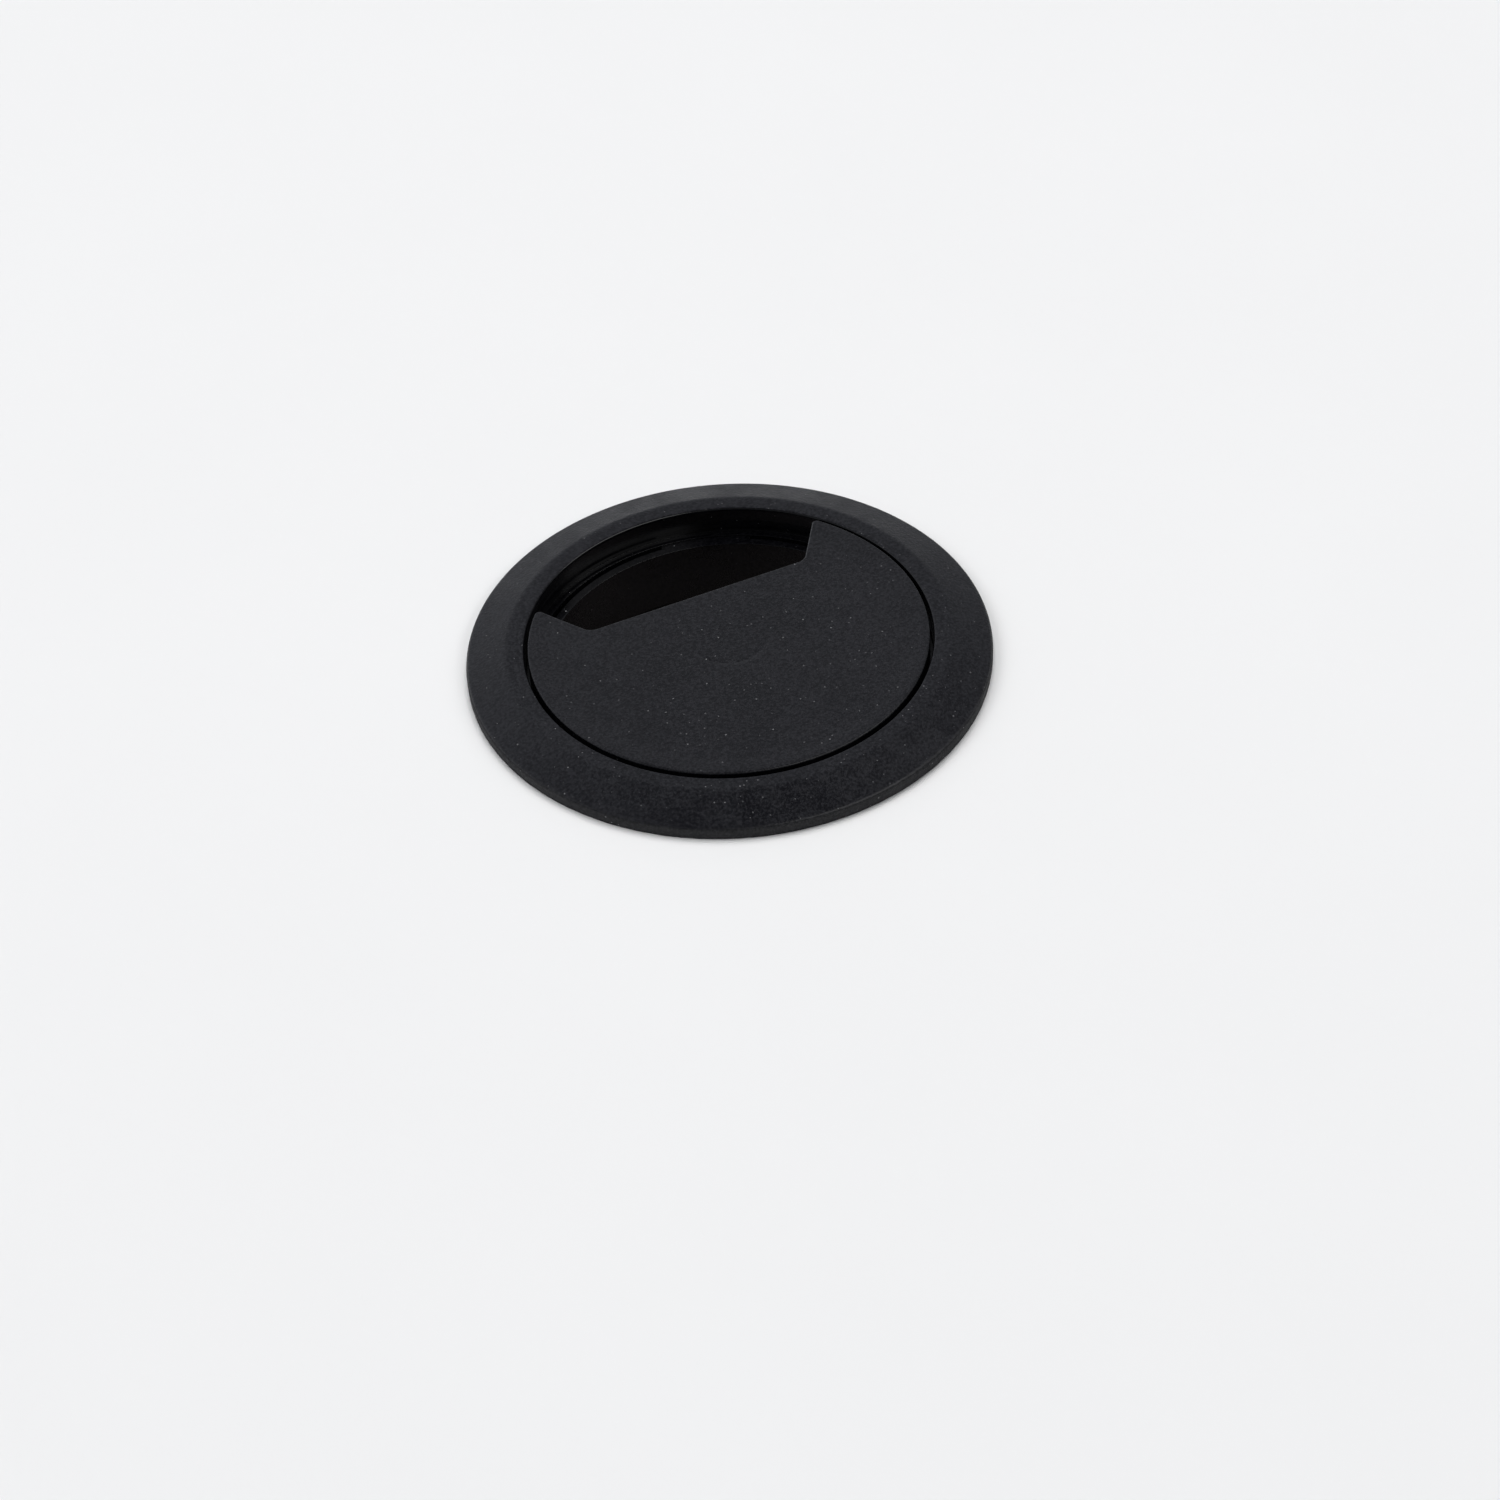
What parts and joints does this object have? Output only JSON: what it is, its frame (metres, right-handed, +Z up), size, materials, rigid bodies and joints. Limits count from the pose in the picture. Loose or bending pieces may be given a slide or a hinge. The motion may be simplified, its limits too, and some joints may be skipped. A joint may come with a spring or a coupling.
{
  "type": "desk grommet",
  "caption": "Round snap-in cable grommet for a desk hole: flanged liner, turning lid with a cable notch, and a turning shutter that closes the notch.",
  "frame": {"origin": "centre of the flange's underside, in the plane of the desk top", "axes": "+Z up out of the desk along the axis of the hole, +Y towards the lid's cable notch at rest"},
  "size_m": [0.095, 0.095, 0.0222],
  "materials": {
    "liner_plastic": "satin fine-grained black, glossy inside",
    "lid_plastic": "satin fine-grained black",
    "shutter_plastic": "glossy black"
  },
  "bodies": {
    "liner": {"liner": "liner_plastic"},
    "lid": {"lid": "lid_plastic"},
    "shutter": {"shutter": "shutter_plastic"}
  },
  "joints": [
    {"name": "lid_turn", "type": "hinge", "parent": "liner", "child": "lid", "pos_m": [0, 0, 0], "axis": [0, 0, 1], "continuous": true},
    {"name": "shutter_turn", "type": "hinge", "parent": "lid", "child": "shutter", "pos_m": [0, 0, 0], "axis": [0, 0, 1], "continuous": true}
  ]
}
